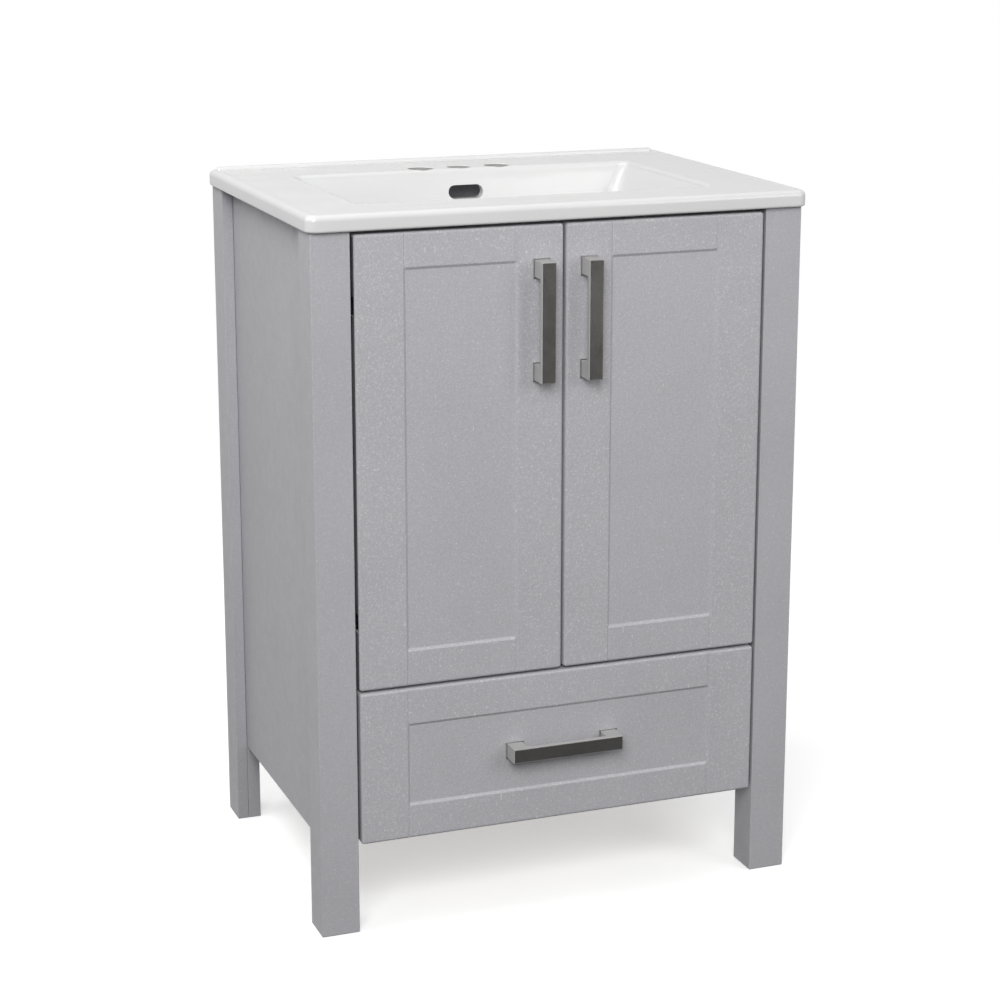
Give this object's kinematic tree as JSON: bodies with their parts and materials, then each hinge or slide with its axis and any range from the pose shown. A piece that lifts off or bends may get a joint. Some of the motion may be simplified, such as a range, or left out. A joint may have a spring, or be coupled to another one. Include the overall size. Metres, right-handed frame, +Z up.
{
  "type": "bathroom vanity cabinet",
  "caption": "Freestanding bathroom vanity with a ceramic sink top, hinged shaker doors over a sliding drawer, bar pulls and straight legs.",
  "frame": {"origin": "on the floor under the middle of the overall box", "axes": "+Z up, +Y towards the wall, doors and drawer face -Y, +X to the viewer's right from the front"},
  "size_m": [0.61, 0.461, 0.853],
  "materials": {
    "grey_paint": "satin cool grey paint with a fine texture, on wood and fibreboard",
    "carcass_board": "matt grey foil on board",
    "birch_plywood": "clear-lacquered pale ply",
    "ceramic_white": "glossy white glaze",
    "satin_nickel": "brushed satin nickel",
    "zinc_steel": "bright zinc plate",
    "clear_bumper": "cloudy clear elastomer"
  },
  "bodies": {
    "cabinet": {"back_panel_lower": "carcass_board", "back_rail_top": "carcass_board", "corner_brace_front_left": "birch_plywood", "corner_brace_front_right": "birch_plywood", "corner_brace_rear_left": "birch_plywood", "corner_brace_rear_right": "birch_plywood", "door_bumper_left": "clear_bumper", "door_bumper_right": "clear_bumper", "drawer_bumper_left": "clear_bumper", "drawer_bumper_right": "clear_bumper", "front_post_left": "grey_paint", "front_post_right": "grey_paint", "front_rail_bottom": "grey_paint", "front_rail_top": "grey_paint", "hinge_arm_left_lower": "zinc_steel", "hinge_arm_left_upper": "zinc_steel", "hinge_arm_right_lower": "zinc_steel", "hinge_arm_right_upper": "zinc_steel", "rear_post_left": "grey_paint", "rear_post_right": "grey_paint", "runner_cleat_left": "carcass_board", "runner_cleat_right": "carcass_board", "shelf_board": "carcass_board", "side_panel_left": "grey_paint", "side_panel_right": "grey_paint", "sink_top": "ceramic_white", "slide_outer_left": "zinc_steel", "slide_outer_right": "zinc_steel"},
    "left_door": {"door_handle_left": "satin_nickel", "door_handle_left_screw_1": "zinc_steel", "door_handle_left_screw_2": "zinc_steel", "door_left": "grey_paint", "hinge_leaf_left_lower": "zinc_steel", "hinge_leaf_left_upper": "zinc_steel", "hinge_pin_left_lower": "zinc_steel", "hinge_pin_left_upper": "zinc_steel"},
    "right_door": {"door_handle_right": "satin_nickel", "door_handle_right_screw_1": "zinc_steel", "door_handle_right_screw_2": "zinc_steel", "door_right": "grey_paint", "hinge_leaf_right_lower": "zinc_steel", "hinge_leaf_right_upper": "zinc_steel", "hinge_pin_right_lower": "zinc_steel", "hinge_pin_right_upper": "zinc_steel"},
    "drawer": {"drawer_back": "birch_plywood", "drawer_bottom": "birch_plywood", "drawer_front": "grey_paint", "drawer_handle": "satin_nickel", "drawer_handle_screw_1": "zinc_steel", "drawer_handle_screw_2": "zinc_steel", "drawer_side_left": "birch_plywood", "drawer_side_right": "birch_plywood", "slide_inner_left": "zinc_steel", "slide_inner_right": "zinc_steel"},
    "slide_middles": {"slide_middle_left": "zinc_steel", "slide_middle_right": "zinc_steel"}
  },
  "joints": [
    {"name": "left_door_hinge", "type": "hinge", "parent": "cabinet", "child": "left_door", "pos_m": [-0.242, -0.1965, 0.56275], "axis": [0, 0, -1], "range_deg": [0, 100]},
    {"name": "right_door_hinge", "type": "hinge", "parent": "cabinet", "child": "right_door", "pos_m": [0.242, -0.1965, 0.56275], "axis": [0, 0, 1], "range_deg": [0, 100]},
    {"name": "drawer_slide", "type": "slide", "parent": "cabinet", "child": "drawer", "axis": [0, -1, 0], "range_m": [0, 0.33]},
    {"name": "slide_middles_slide", "type": "slide", "parent": "cabinet", "child": "slide_middles", "axis": [0, -1, 0], "range_m": [0, 0.165]}
  ],
  "couplings": [
    {"joint": "slide_middles_slide", "follows": "drawer_slide", "ratio": 0.5}
  ]
}
